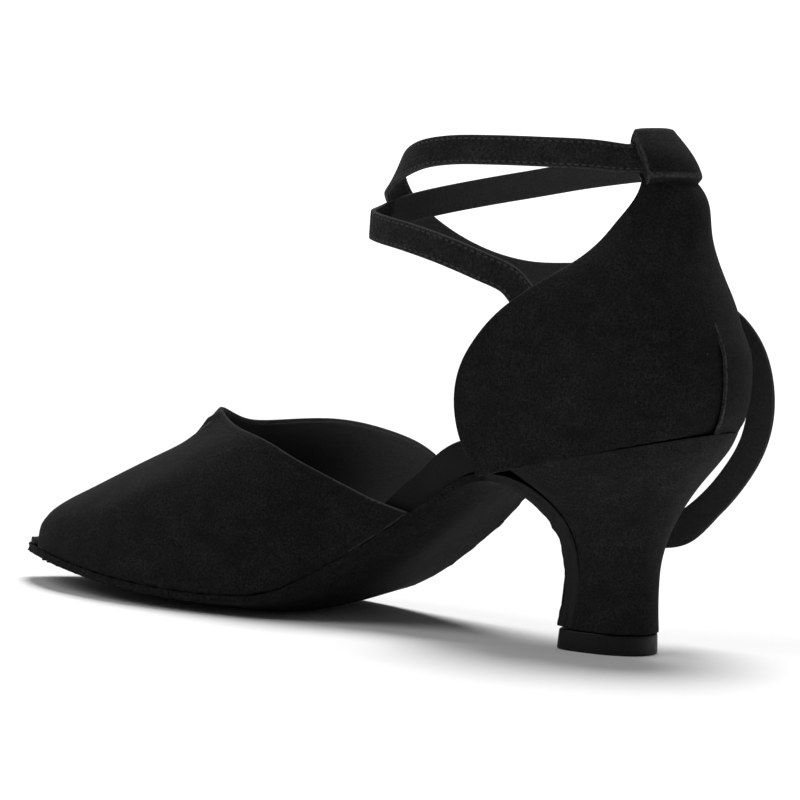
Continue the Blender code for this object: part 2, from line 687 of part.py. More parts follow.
def counter_point(around, level, offset=0.0, lift=0.0):
    """A point of the counter's outer face: around from -1, the medial front, to 1."""
    row = counter_level(level)
    back = row["back"] * COUNTER_REACH
    front = row["front"] * COUNTER_REACH
    half = row["width"] * COUNTER_WIDTH / 2
    depth = row["round"] * COUNTER_REACH
    straight = max(front - back - depth, 0.0)
    power = 2 / row["squareness"]
    full = math.acos(max((depth - front + back) / depth, 0.0) ** (1 / power))
    curved = full * (half + depth) / 2
    bend = curved / (curved + straight)
    place = min(abs(around), 1.0)
    if place <= bend:
        turn = place / bend * full
        x = half * math.sin(turn) ** power
        y = back + depth - depth * math.cos(turn) ** power
        normal = np.array([math.sin(turn) / half, -math.cos(turn) / depth])
    else:
        ahead = (place - bend) / (1 - bend)
        fall = SIDE_TAPER * straight / (front - back)
        x = half * (1 - fall * ahead**2)
        y = back + depth + straight * ahead
        normal = np.array([1.0, 2 * fall * half * ahead / straight])
    normal = normal / np.linalg.norm(normal)
    side = -1.0 if around < 0 else 1.0
    x, y = x + normal[0] * offset, y + normal[1] * offset
    rise = row["back_rise"] + (row["front_rise"] - row["back_rise"]) * (y - back) / (front - back)
    return np.array([side * x, y, HEEL_HEIGHT + rise * COUNTER_RISE + lift])


def counter_grid(arounds, levels, offset=0.0):
    return np.array([[counter_point(a, level, offset) for a in arounds] for level in levels])


def make_counter():
    """The closed back of the upper, which rises to a narrow neck behind the ankle."""
    arounds = np.linspace(-1, 1, COUNTER_AROUND)
    levels = np.linspace(0, 1, COUNTER_LEVELS)
    outer = counter_grid(arounds, levels)
    inner = inward(outer, COUNTER_WALL, flip=False)
    inner[0, :, 2] = np.maximum(inner[0, :, 2], outer[0, :, 2])
    return new_mesh(
        "counter", *sheet(outer, inner), colour=(0.015, 0.014, 0.014), roughness=0.95
    )


def make_back_strip():
    """The strip that covers the counter's back seam, from the heel seat up to the loop."""
    levels = np.linspace(STRIP_START, STRIP_END, STRIP_STATIONS)
    shares = np.linspace(-1, 1, STRIP_ACROSS)
    table = columns(STRIP_COLUMNS, STRIP_WIDTHS)
    grids = []
    for offset in (GAP + STRIP_THICKNESS, GAP):
        rows = []
        for level in levels:
            half = STRIP_WIDTH / 2 * float(through(table["level"], table["width"], level))
            reach = around_at(level, half)
            rows.append([off_counter(s * reach, level, offset) for s in shares])
        grids.append(np.array(rows))
    return new_mesh(
        "back_strip", *sheet(*grids), colour=(0.015, 0.014, 0.014), roughness=0.95
    )


def around_at(level, half):
    """The place around the counter where its face is this far from the middle."""
    places = np.linspace(0, 0.5, FINE_STEPS)
    widths = [counter_point(place, level)[0] for place in places]
    return float(np.interp(half, widths, places))


def off_counter(around, level, offset, lift=0.0):
    """A point this far straight out of the counter's face, and this much higher."""
    point = counter_point(around, level) + counter_facing(around, level) * offset
    return point + np.array([0.0, 0.0, lift])


def make_strap_loop():
    """The neck's end folded outwards and stitched down, which makes the strap's tunnel."""
    inside = 3 * STRAP_CLEARANCE + STRAP_THICKNESS
    outside = inside + LOOP_WALL
    section = (
        (HEM_LEVEL, GAP, 0.0),
        (HEM_LEVEL, GAP + HEM_THICKNESS, 0.0),
        (FLOOR_LEVEL, outside - LOOP_EASE, 0.0),
        (STRAP_LEVEL, outside, 0.0),
        (1.0, outside - LOOP_EASE, 0.0),
        (1.0, outside - LOOP_ROUNDING / 2, LOOP_CROWN * LOOP_SHOULDER),
        (1.0, outside - LOOP_ROUNDING, LOOP_CROWN),
        (1.0, -COUNTER_WALL / 2, LOOP_CROWN),
        (1.0, -COUNTER_WALL, LOOP_CROWN * LOOP_SHOULDER),
        (1.0, -COUNTER_WALL, GAP),
        (1.0, inside - LOOP_EASE, GAP),
        (STRAP_LEVEL, inside, 0.0),
        (FLOOR_LEVEL + FLOOR_RISE, inside, 0.0),
        (FLOOR_LEVEL, GAP, 0.0),
    )
    reach = loop_reach()
    rings = []
    for around in np.linspace(-reach, reach, LOOP_RINGS):
        flare = 1 + LOOP_FLARE * (around / reach) ** 4
        ring = [off_counter(around, level, off * flare, lift) for level, off, lift in section]
        rings.append(ring)
    return new_mesh(
        "strap_loop", *loft(rings), colour=(0.016, 0.015, 0.015), roughness=0.95
    )


def loop_reach():
    """How far round the neck the loop goes, as a place around the counter."""
    places = np.linspace(0, 1, FINE_STEPS)
    line = np.array([counter_point(place, STRAP_LEVEL) for place in places])
    return float(np.interp(LOOP_OVERHANG, lengths_along(line), places))


def heel_ring(row, front):
    """One section of the heel: round at the back, nearly straight along its breast."""
    back = row["setback"] * SEAT_LENGTH
    half = row["width"] * SEAT_WIDTH / 2
    depth = front - back
    middle = back + HEEL_MIDDLE * depth
    ring = []
    for turn in np.linspace(0, 2 * math.pi, HEEL_AROUND, endpoint=False):
        at_back = math.sin(turn) < 0
        across, along = HEEL_BACK_CURVE if at_back else HEEL_FRONT_CURVE
        reach = middle - back if at_back else front - middle
        x = half * signed_power(math.cos(turn), 2 / across)
        y = middle + reach * signed_power(math.sin(turn), 2 / along)
        ring.append((x, y))
    return np.array(ring)


def make_heel():
    """The covered heel block: a D-shaped stem that flares to the seat and a little to its foot."""
    table = columns(HEEL_COLUMNS, HEEL_SECTIONS)
    rows = np.linspace(0, 1, len(HEEL_SECTIONS))
    at = sole_places(300, BREAST_ROW + 1, -1)
    middle, normal = Sole.line(at)
    rise = Sole.column("medial_rise", at, EDGE_RISE)
    breast = middle + normal * (OUTSOLE_THICKNESS + GAP + rise)[:, None]
    order = np.argsort(breast[:, 1])
    rings = []
    for level in np.linspace(0, 1, HEEL_LEVELS):
        row = {name: float(through(rows, values, level)) for name, values in table.items()}
        low, high = row["front_height"] * HEEL_HEIGHT, row["back_height"] * HEEL_HEIGHT
        front = float(np.interp(low, breast[order, 1], breast[order, 0]))
        ring = heel_ring(row, front)
        back = row["setback"] * SEAT_LENGTH
        z = high + (low - high) * (ring[:, 1] - back) / (front - back)
        rings.append(np.column_stack([ring, z]))
    seat = heel_ring({"setback": 0.0, "width": 1.0}, SEAT_LENGTH)
    rings.append(np.column_stack([seat, seat_height(seat[:, 1])]))
    rings[0][:, 2] = LIFT_THICKNESS + GAP
    return new_mesh("heel", *loft(rings), colour=(0.014, 0.014, 0.014), roughness=0.85)


def make_top_lift():
    """The rubber top lift nailed under the heel."""
    back = LIFT_FRONT - LIFT_LENGTH
    row = {"setback": back / SEAT_LENGTH, "width": LIFT_WIDTH / SEAT_WIDTH}
    outline = heel_ring(row, LIFT_FRONT)
    centre = np.array([0.0, LIFT_FRONT - LIFT_LENGTH / 2])
    table = columns(LIFT_COLUMNS, LIFT_SECTIONS)
    rings = []
    for up, size in zip(table["up"], table["size"]):
        ring = centre + (outline - centre) * size
        rings.append(np.column_stack([ring, np.full(len(ring), up * LIFT_THICKNESS)]))
    return new_mesh("top_lift", *loft(rings), colour=(0.02, 0.02, 0.02), roughness=0.5)


def counter_facing(around, level):
    """Unit vector straight out of the counter's face."""
    step = 0.01
    up = counter_point(around, level + step) - counter_point(around, level - step)
    along = counter_point(around + step, level) - counter_point(around - step, level)
    return unit(np.cross(along, up))


def on_counter(names, rows, offset):
    """The strap's middle line along the counter's wall, with the way that it faces."""
    table = columns(names, rows)
    line = []
    for around, level in zip(table["around"], table["level"]):
        facing = counter_facing(around, level)
        line.append([*(counter_point(around, level) + facing * offset), *facing])
    return np.array(line)


def in_loop():
    """The strap's middle line inside the loop, from the lateral side to the medial side."""
    reach = loop_reach()
    offset = STRAP_CLEARANCE + STRAP_THICKNESS / 2
    line = []
    for around in np.linspace(LEAD_IN * reach, -LEAD_IN * reach, LEAD_IN_POINTS):
        facing = counter_facing(around, STRAP_LEVEL)
        line.append([*off_counter(around, STRAP_LEVEL, offset), *facing])
    return np.array(line)


def neck_place():
    return off_counter(0.0, STRAP_LEVEL, STRAP_CLEARANCE + STRAP_THICKNESS / 2)


def round_ankle(names, rows):
    """The strap's middle line from its table, facing away from the middle of the ankle."""
    table = columns(names, rows)
    x = table["across"] * ANKLE_WIDTH
    y = neck_place()[1] + table["along"] * ANKLE_LENGTH
    z = HEEL_HEIGHT + table["up"] * COUNTER_RISE
    ahead = table["along"] - 0.5
    level = unit(np.stack([table["across"] / ANKLE_WIDTH, ahead / ANKLE_LENGTH, 0 * z], axis=1))
    facing = level + table["lean"][:, None] * np.array([0.0, 0.0, 1.0])
    return np.concatenate([np.stack([x, y, z], axis=1), unit(facing)], axis=1)


def hanging():
    """The middle line of the strap's free end, which faces straight out sideways."""
    table = columns(END_COLUMNS, HANGING_END)
    x = table["across"] * ANKLE_WIDTH
    y = neck_place()[1] + table["along"] * ANKLE_LENGTH
    z = neck_place()[2] - table["down"] * STRAP_DROP
    facing = np.broadcast_to([1.0, 0.0, 0.0], (len(x), 3))
    return np.concatenate([np.stack([x, y, z], axis=1), facing], axis=1)


def make_ankle_strap():
    """One long strap: up the medial side, round to the loop, round again, and down to its tip."""
    against = GAP + STRAP_THICKNESS / 2
    route = np.concatenate(
        [
            on_counter(SEWN_COLUMNS, SEWN_START, -COUNTER_WALL - against),
            round_ankle(STRAP_COLUMNS, FIRST_TURN),
            in_loop(),
            round_ankle(STRAP_COLUMNS, SECOND_TURN),
            on_counter(SEWN_COLUMNS, FASTENING, against),
            hanging(),
        ]
    )
    length = lengths_along(route[:, :3])
    slopes = np.gradient(route, length, axis=0)
    at = np.linspace(0, length[-1], int(round(length[-1] / STRAP_STEP)) + 1)
    line = through_points(length, route, slopes, at)
    middle, outward = line[:, :3], line[:, 3:]
    tangent = unit(np.gradient(middle, axis=0))
    outward = unit(outward - tangent * np.sum(outward * tangent, axis=1, keepdims=True))
    upward = np.cross(outward, tangent)
    half = np.full((len(middle), 1), STRAP_WIDTH / 2)
    half[-2:, 0] *= STRAP_TIP
    thick = outward * STRAP_THICKNESS / 2
    wide = upward * half
    corners = (wide + thick, thick - wide, -wide - thick, wide - thick)
    rings = np.stack([middle + corner for corner in corners], axis=1)
    return new_mesh(
        "ankle_strap", *loft(rings), colour=(0.016, 0.015, 0.015), roughness=0.95
    )


def set_down(pieces):
    """Puts the bottom centre of the whole shoe's box on the origin, under one empty."""
    corners = np.concatenate(
        [np.array([vertex.co[:] for vertex in piece.data.vertices]) for piece in pieces]
    )
    low, high = corners.min(axis=0), corners.max(axis=0)
    shoe = bpy.data.objects.new("shoe", None)
    bpy.context.scene.collection.objects.link(shoe)
    shoe.location = (-(low[0] + high[0]) / 2, -(low[1] + high[1]) / 2, -low[2])
    for piece in pieces:
        piece.parent = shoe


for old in list(bpy.data.objects):
    bpy.data.objects.remove(old)
set_down(
    [
        make_outsole(),
        make_insole(),
        make_vamp(),
        make_counter(),
        make_back_strip(),
        make_strap_loop(),
        make_heel(),
        make_top_lift(),
        make_ankle_strap(),
    ]
)
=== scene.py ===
import math

import bmesh
import bpy
import numpy as np
from mathutils import Matrix, Vector
from mathutils.kdtree import KDTree


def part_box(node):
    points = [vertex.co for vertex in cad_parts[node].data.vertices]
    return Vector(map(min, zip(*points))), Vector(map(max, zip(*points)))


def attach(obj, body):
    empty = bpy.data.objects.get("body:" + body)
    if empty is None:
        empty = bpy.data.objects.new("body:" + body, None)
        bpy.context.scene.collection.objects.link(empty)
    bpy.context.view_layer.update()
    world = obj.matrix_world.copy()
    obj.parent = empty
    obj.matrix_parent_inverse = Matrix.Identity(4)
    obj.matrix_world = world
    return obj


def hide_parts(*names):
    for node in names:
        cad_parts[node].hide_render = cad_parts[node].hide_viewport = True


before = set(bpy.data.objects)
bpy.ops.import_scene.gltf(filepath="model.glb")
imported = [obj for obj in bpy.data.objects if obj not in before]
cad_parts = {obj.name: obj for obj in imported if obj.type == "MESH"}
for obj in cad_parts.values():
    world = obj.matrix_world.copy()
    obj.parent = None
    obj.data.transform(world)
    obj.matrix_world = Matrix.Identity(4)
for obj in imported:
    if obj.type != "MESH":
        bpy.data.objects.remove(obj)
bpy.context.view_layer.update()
MM = 0.001

# The studio: a shoe on white seamless paper under a broad soft light from above and behind. The
# paper prints as pure white, and the soft shadow falls towards the viewer.

CAMERA_AROUND = math.radians(24.7548)
CAMERA_AWAY = 750.24 * MM
CAMERA_UP = 103.51 * MM
CAMERA_HEADING = math.radians(29.3935)
CAMERA_PITCH = math.radians(-2.9544)
CAMERA_ROLL = math.radians(3.2104)
CAMERA_LENS = 123.825
CAMERA_SENSOR = 36.0
CAMERA_NEAREST = 10 * MM
TIP_TO_LIFT = 12.0 * MM
FLOOR_SIZE = 30.0
PAPER_WHITE = "#fdfdfd"
SKY_LIGHT = 0.12
SKY_SEEN = 1.3
SUN_FROM = (0.35, 0.13, 1.0)
SUN_STRENGTH = 2.9
SUN_SPREAD = math.radians(34)
RIM_FROM = (-0.75, 0.60, 1.0)
RIM_STRENGTH = 0.75
RIM_SPREAD = math.radians(40)


def linear(hex_colour):
    """A colour written as sRGB hex, in the linear values that Blender takes."""
    values = [int(hex_colour[i : i + 2], 16) / 255 for i in (1, 3, 5)]
    return tuple(v / 12.92 if v <= 0.04045 else ((v + 0.055) / 1.055) ** 2.4 for v in values)


def node(tree, kind, settings=None, links=None):
    """Adds a node with settings, and with values or links for its inputs."""
    made = tree.nodes.new("ShaderNode" + kind)
    for name, value in (settings or {}).items():
        setattr(made, name, value)
    for name, value in (links or {}).items():
        if isinstance(value, bpy.types.NodeSocket):
            tree.links.new(value, made.inputs[name])
        elif isinstance(value, str):
            made.inputs[name].default_value = (*linear(value), 1)
        else:
            made.inputs[name].default_value = value
    return made


def material(name):
    """A new material, its node tree and its Principled shader."""
    made = bpy.data.materials.new(name)
    made.use_nodes = True
    return made, made.node_tree, made.node_tree.nodes["Principled BSDF"]


def sun(name, place, strength, spread):
    data = bpy.data.lights.new(name, "SUN")
    data.energy = strength
    data.angle = spread
    made = bpy.data.objects.new(name, data)
    bpy.context.scene.collection.objects.link(made)
    made.rotation_euler = Vector(place).to_track_quat("Z", "Y").to_euler()


# The camera stands at the fitted distance from the lift's tip, with the fitted heading and roll.
lift_low, lift_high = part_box("top_lift")
heel_tip = Vector(((lift_low[0] + lift_high[0]) / 2, lift_high[1] - TIP_TO_LIFT, 0.0))
away = (
    -CAMERA_AWAY * math.cos(CAMERA_AROUND),
    -CAMERA_AWAY * math.sin(CAMERA_AROUND),
    CAMERA_UP,
)
ahead = Vector(
    (
        math.cos(CAMERA_HEADING) * math.cos(CAMERA_PITCH),
        math.sin(CAMERA_HEADING) * math.cos(CAMERA_PITCH),
        math.sin(CAMERA_PITCH),
    )
)
level_right = ahead.cross(Vector((0, 0, 1))).normalized()
level_up = level_right.cross(ahead)
right = level_right * math.cos(CAMERA_ROLL) + level_up * math.sin(CAMERA_ROLL)
up = level_up * math.cos(CAMERA_ROLL) - level_right * math.sin(CAMERA_ROLL)
turned = Matrix((right, up, -ahead)).transposed().to_4x4()
lens = bpy.data.cameras.new("camera")
lens.lens = CAMERA_LENS
lens.sensor_width = CAMERA_SENSOR
lens.clip_start = CAMERA_NEAREST
camera = bpy.data.objects.new("camera", lens)
bpy.context.scene.collection.objects.link(camera)
camera.matrix_world = Matrix.Translation(heel_tip + Vector(away)) @ turned
bpy.context.scene.camera = camera

bpy.ops.object.select_all(action="DESELECT")
bpy.ops.mesh.primitive_plane_add(size=FLOOR_SIZE, location=(0, 0, 0))
floor = bpy.context.object
floor.name = "floor"
# White seamless paper, dead matt.
paper, tree, shader = material("seamless_paper")
shader.inputs["Base Color"].default_value = (*linear(PAPER_WHITE), 1)
shader.inputs["Roughness"].default_value = 1.0
shader.inputs["Specular IOR Level"].default_value = 0.0
floor.data.materials.append(paper)

# The background is brighter to the camera than as a light, so that it prints as pure white.
world = bpy.data.worlds.new("studio")
world.use_nodes = True
bpy.context.scene.world = world
background = world.node_tree.nodes["Background"]
background.inputs["Color"].default_value = (1, 1, 1, 1)
seen = node(world.node_tree, "LightPath").outputs["Is Camera Ray"]
strength = node(
    world.node_tree,
    "MapRange",
    links={"Value": seen, "To Min": SKY_LIGHT, "To Max": SKY_SEEN},
)
world.node_tree.links.new(strength.outputs[0], background.inputs["Strength"])
sun("key", SUN_FROM, SUN_STRENGTH, SUN_SPREAD)
sun("rim", RIM_FROM, RIM_STRENGTH, RIM_SPREAD)
bpy.context.scene.view_settings.view_transform = "Standard"
bpy.context.scene.view_settings.look = "None"

# The outsole: split suede with its rough nap out, cut raw round its edge, stitched near it and
# cemented under the forefoot and down the breast of the heel.

BRUSHED_SIZE = 3.2
BRUSHED_STRETCH = (1.0, 0.45, 1.0)
BRUSHED_DEPTH = 0.10
CLOUD_SIZE = 12.0
# A painted highlight on nap that faces up: the normal's height where it starts, and its strength.
PAINTED_TOP_LIGHT_FROM = 0.50
PAINTED_TOP_LIGHT = 0.85
LINT_COLOUR = "#444446"
LINT_SIZE = 0.8
LINT_SHARE = 0.7
# The paler edge band: partly the cut edge's own fibres and partly a painted highlight along it.
CUT_EDGE_AND_HIGHLIGHT = (0.15 * MM, 0.65 * MM)
CUT_EDGE_AND_HIGHLIGHT_SHARE = 0.75
STITCH_ROW = (0.14 * MM, 0.30 * MM)
STITCH_LENGTH = (0.24, 0.34)
THREAD_RAISED = 1.6
# Painted light on the upper's inside faces: a grey that stands in for the light falling into the shoe,
# whose lining is near black.
INSIDE_PAINTED_LIGHT = "#676769"
SUEDE_ROUGHNESS = 0.92
SUEDE_GLOSS = 0.10
SHEEN_ROUGHNESS = 0.38
SHEEN_TINT = "#b4b3b6"
SHARP = math.radians(38)
MERGED_WITHIN = 0.01 * MM
RIM_STEP = 0.4 * MM
CREASE_END = 0.02
CREASE_FADE = 0.6
FLAP_BEFORE_HEEL = 4 * MM
FLAP_COLOUR_BELOW = 6 * MM
FLAP_PRESSED_BELOW = 8 * MM
FLAP_FILL = 2.2 * MM
FLAP_FILL_OVER = 3.0 * MM
# The ragged and the wavy cut: their depths in mm, and their waves in radians a metre.
SOLE_RAGGED = 0.26
SOLE_WAVY = 0.22
RAG_ACROSS = 9100
RAG_ALONG = 7900
RAG_DRIFT = 5300
RAG_SWAY = 4
WAVE_ALONG = 1310
WAVE_DRIFT = 470
WAVE_SWAY = 2
rim_lines = {}


def coordinates(tree, scale_mm, stretch=(1, 1, 1)):
    """Object coordinates in which one unit is this many real millimetres."""
    place = node(tree, "TexCoord").outputs["Object"]
    scale = tuple(s / (scale_mm * MM) for s in stretch)
    return node(tree, "Mapping", links={"Vector": place, "Scale": scale}).outputs[0]


def noise(tree, scale_mm, detail=3.0, roughness=0.55, stretch=(1, 1, 1)):
    values = {"Scale": 1.0, "Detail": detail, "Roughness": roughness}
    vector = coordinates(tree, scale_mm, stretch)
    return node(tree, "TexNoise", links={"Vector": vector, **values}).outputs[0]


def ramp(tree, value, low, high, to_low=0.0, to_high=1.0):
    values = {"From Min": low, "From Max": high, "To Min": to_low, "To Max": to_high}
    return node(tree, "MapRange", links={"Value": value, **values}).outputs[0]


def math_node(tree, operation, *values):
    return node(tree, "Math", {"operation": operation}, dict(enumerate(values))).outputs[0]


def times(tree, first, second):
    return math_node(tree, "MULTIPLY", first, second)


def minus(tree, first, second):
    return math_node(tree, "SUBTRACT", first, second)


def close_to(tree, value, middle, near, far):
    """One where a value is near the middle, and falling to zero at the far distance from it."""
    return ramp(tree, math_node(tree, "ABSOLUTE", minus(tree, value, middle)), near, far, 1.0, 0.0)


def mixed(tree, factor, first, second):
    made = node(tree, "Mix", {"data_type": "RGBA"}, {0: factor, 6: first, 7: second})
    return made.outputs[2]


def bumped(tree, height, depth_mm, under=None):
    links = {"Height": height, "Distance": depth_mm * MM, "Strength": 1.0}
    if under is not None:
        links["Normal"] = under
    return node(tree, "Bump", links=links).outputs[0]


def seam(tree):
    """How far along and how far from a piece's cut edge, in metres, and its share of the painted inside
    light.
    """
    read = node(tree, "Attribute", {"attribute_name": "seam"}).outputs["Vector"]
    return node(tree, "SeparateXYZ", links={0: read}).outputs


def suede(
    name, dark, light, nap_mm, nap_depth_mm, sheen, edge, stitch=None, inside_light=INSIDE_PAINTED_LIGHT, inside_light_share=1.0
):
    """Napped leather: fine fibres in brushed clouds, a paler cut edge, lint, and stitches.

    A stitch is its thread's colour, its pitch, its distance from the edge and its depth, in mm.
    The inside light is painted light on the points that the seam marks, as much as the inside
    light share says. The paler cut edge is partly the edge's own fibres and partly a painted
    highlight along it, and the nap is painted paler where it faces up.
    """
    made, tree, shader = material(name)
    along, distance, inside = seam(tree)
    fibres = noise(tree, nap_mm, 4.0, 0.7)
    brushed = noise(tree, BRUSHED_SIZE, 3.0, 0.6, BRUSHED_STRETCH)
    clouds = ramp(tree, noise(tree, CLOUD_SIZE, 4.0, 0.6), 0.30, 0.72, 0.55, 1.0)
    pale_share = times(tree, ramp(tree, fibres, 0.36, 0.76), clouds)
    pale_share = times(tree, pale_share, ramp(tree, brushed, 0.25, 0.7, 0.5, 1.3))
    # Painted highlight: the colour is paler where the nap faces up, standing in for the light from above.
    facing = node(tree, "NewGeometry").outputs["Normal"]
    facing = node(tree, "SeparateXYZ", links={0: facing}).outputs["Z"]
    painted_top_light = ramp(tree, facing, PAINTED_TOP_LIGHT_FROM, 1.0, 0.0, PAINTED_TOP_LIGHT)
    pale_share = math_node(tree, "ADD", pale_share, painted_top_light)
    colour = mixed(tree, pale_share, dark, light)
    lint = ramp(tree, noise(tree, LINT_SIZE, 1.0), 0.76, 0.82, 0.0, LINT_SHARE)
    colour = mixed(tree, lint, colour, LINT_COLOUR)
    # The paler edge: partly the cut edge's own fibres, partly a painted highlight along it.
    cut = ramp(tree, distance, *CUT_EDGE_AND_HIGHLIGHT, CUT_EDGE_AND_HIGHLIGHT_SHARE, 0.0)
    cut = times(tree, cut, ramp(tree, fibres, 0.3, 0.6))
    colour = mixed(tree, cut, colour, edge)
    inside = times(tree, inside, inside_light_share)
    colour = mixed(tree, inside, colour, inside_light)
    normal = bumped(tree, fibres, nap_depth_mm)
    normal = bumped(tree, brushed, BRUSHED_DEPTH, normal)
    if stitch:
        thread, pitch_mm, inset_mm, stitch_mm = stitch
        row = close_to(tree, distance, inset_mm * MM, *STITCH_ROW)
        beat = math_node(tree, "FRACT", math_node(tree, "DIVIDE", along, pitch_mm * MM))
        shown = close_to(tree, beat, 0.5, *STITCH_LENGTH)
        groove = times(tree, row, minus(tree, 1.0, inside))
        threads = times(tree, groove, shown)
        colour = mixed(tree, threads, colour, thread)
        raised = minus(tree, times(tree, threads, THREAD_RAISED), groove)
        normal = bumped(tree, raised, stitch_mm, normal)
    tree.links.new(colour, shader.inputs["Base Color"])
    tree.links.new(normal, shader.inputs["Normal"])
    shader.inputs["Roughness"].default_value = SUEDE_ROUGHNESS
    shader.inputs["Specular IOR Level"].default_value = SUEDE_GLOSS
    shader.inputs["Sheen Weight"].default_value = sheen
    shader.inputs["Sheen Roughness"].default_value = SHEEN_ROUGHNESS
    shader.inputs["Sheen Tint"].default_value = (*linear(SHEEN_TINT), 1)
    return made


def sharp_lines(made):
    """The sharp edges of a mesh, joined end to end into lines of points."""
    shape = bmesh.new()
    shape.from_mesh(made.data)
    ties = {}
    for edge in shape.edges:
        if len(edge.link_faces) == 2 and edge.calc_face_angle() > SHARP:
            a, b = edge.verts
            ties.setdefault(a.index, set()).add(b.index)
            ties.setdefault(b.index, set()).add(a.index)
    places = [vertex.co.copy() for vertex in shape.verts]
    shape.free()
    starts = sorted(ties, key=lambda index: (len(ties[index]) == 2, index))
    lines = []
    for start in starts:
        while ties[start]:
            line = [start]
            while ties[line[-1]]:
                after = min(ties[line[-1]])
                ties[line[-1]].discard(after)
                ties[after].discard(line[-1])
                line.append(after)
                if len(ties[after]) > 1:
                    break
            lines.append([places[index] for index in line])
    return lines


def dressed(name, source, finish, bevel_mm, levels):
    """A smooth copy of a CAD node: whole quads again, its edges eased, then subdivided."""
    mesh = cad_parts[source].data.copy()
    mesh.name = name
    mesh.materials.clear()
    mesh.materials.append(finish)
    made = bpy.data.objects.new(name, mesh)
    bpy.context.scene.collection.objects.link(made)
    bpy.ops.object.select_all(action="DESELECT")
    made.select_set(True)
    bpy.context.view_layer.objects.active = made
    bpy.ops.object.mode_set(mode="EDIT")
    bpy.ops.mesh.select_all(action="SELECT")
    bpy.ops.mesh.remove_doubles(threshold=MERGED_WITHIN)
    bpy.ops.mesh.tris_convert_to_quads(face_threshold=0.7, shape_threshold=1.2)
    bpy.ops.mesh.normals_make_consistent(inside=False)
    bpy.ops.object.mode_set(mode="OBJECT")
    rim_lines[name] = sharp_lines(made)
    ease = made.modifiers.new("ease", "BEVEL")
    ease.width = bevel_mm * MM
    ease.segments = 2
    ease.limit_method = "ANGLE"
    ease.angle_limit = SHARP
    bpy.ops.object.modifier_apply(modifier=ease.name)
    finer = made.modifiers.new("finer", "SUBSURF")
    finer.levels = finer.render_levels = levels
    bpy.ops.object.modifier_apply(modifier=finer.name)
    bpy.ops.object.shade_smooth()
    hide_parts(source)
    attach(made, "root")
    return made


def nearest_of(points):
    """A tree that finds the nearest of some points."""
    near = KDTree(len(points))
    for index, point in enumerate(points):
        near.insert(point, index)
    near.balance()
    return near


def mark_seams(made, kept=None, inside=None):
    """Stores each point's place along the nearest kept rim, its distance from it, and its side, which is
    its share of the painted inside light.
    """
    points = []
    lengths = []
    for line in rim_lines[made.name]:
        along = 0.0
        for a, b in zip(line[:-1], line[1:]):
            length = (b - a).length
            for share in np.arange(0, 1, min(RIM_STEP / max(length, 1e-9), 1.0)):
                point = a.lerp(b, share)
                if kept is None or kept(point):
                    points.append(point)
                    lengths.append(along + share * length)
            along += length
    near = nearest_of(points)
    values = []
    for vertex in made.data.vertices:
        index, distance = near.find(vertex.co)[1:]
        inside_light = float(inside(vertex.co, vertex.normal)) if inside else 0.0
        values += [lengths[index], distance, inside_light]
    store = made.data.attributes.new("seam", "FLOAT_VECTOR", "POINT")
    store.data.foreach_set("vector", values)


def points_of(made):
    """A mesh's points and normals, as arrays."""
    count = len(made.data.vertices)
    places, normals = np.empty(3 * count), np.empty(3 * count)
    made.data.vertices.foreach_get("co", places)
    made.data.vertices.foreach_get("normal", normals)
    return places.reshape(-1, 3), normals.reshape(-1, 3)


def put_points(made, places):
    made.data.vertices.foreach_set("co", places.ravel())
    made.data.update()


def bell(distance, over):
    """One where the distance is zero, and fading softly to nothing."""
    return np.exp(-((distance / over) ** 2))


def fading(distance, over):
    """One up to distance zero, and falling straight to nothing over a length."""
    return np.clip(1 - distance / over, 0, 1)


def from_line(places, line):
    """Each point's distance from a line of points, and its share of the way along it."""
    line = np.array(line, float)
    best = np.full(len(places), np.inf)
    share = np.zeros(len(places))
    for index, (a, b) in enumerate(zip(line[:-1], line[1:])):
        t = np.clip((places - a) @ (b - a) / ((b - a) @ (b - a)), 0, 1)
        distance = np.linalg.norm(places - a - t[:, None] * (b - a), axis=1)
        nearer = distance < best
        best = np.where(nearer, distance, best)
        share = np.where(nearer, (index + t) / (len(line) - 1), share)
    return best, share


def tuck(made, kept, drop_mm, reach_mm):
    """Lowers a piece's seated edge, so that it closes on the piece that it is lasted over."""
    near = nearest_of([point for line in rim_lines[made.name] for point in line if kept(point)])
    places = points_of(made)[0]
    distance = np.array([near.find(place)[2] for place in places])
    places[:, 2] -= drop_mm * MM * bell(distance, reach_mm * MM)
    put_points(made, places)


def crease(made, line, height_mm, width_mm, core):
    """A soft ridge, or a trough where the height is negative, away from the middle of a shell."""
    places = points_of(made)[0]
    outward = places - np.array([core(vertex.co) for vertex in made.data.vertices])
    outward /= np.linalg.norm(outward, axis=1)[:, None]
    distance, share = from_line(places, line)
    fade = np.sin(np.pi * np.clip(share, CREASE_END, 1 - CREASE_END)) ** CREASE_FADE
    lift = height_mm * MM * bell(distance, width_mm * MM) * fade
    put_points(made, places + outward * lift[:, None])


# Split suede: a coarse dark nap, painted paler on the flap down the heel's breast, partly to match the
# heel's cover and partly as painted light that lifts the shade in the heel's corners.
sole_suede = suede(
    "black_split_suede",
    "#080808",
    "#2c2c2c",
    nap_mm=0.7,
    nap_depth_mm=0.30,
    sheen=0.02,
    edge="#181818",
    stitch=("#1c1c1c", 3.0, 2.4, 0.10),
    inside_light="#303031",
    inside_light_share=0.7,
)
outsole = dressed("outsole_suede", "outsole", sole_suede, 0.25, 2)
heel_high = Vector(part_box("heel")[1])


# The flap takes the paler inside colour: partly the heel cover's tone, partly painted light lifting the
# shade in the heel's corners.
def on_flap(place, normal):
    return place.y < heel_high.y + FLAP_BEFORE_HEEL and place.z < heel_high.z - FLAP_COLOUR_BELOW


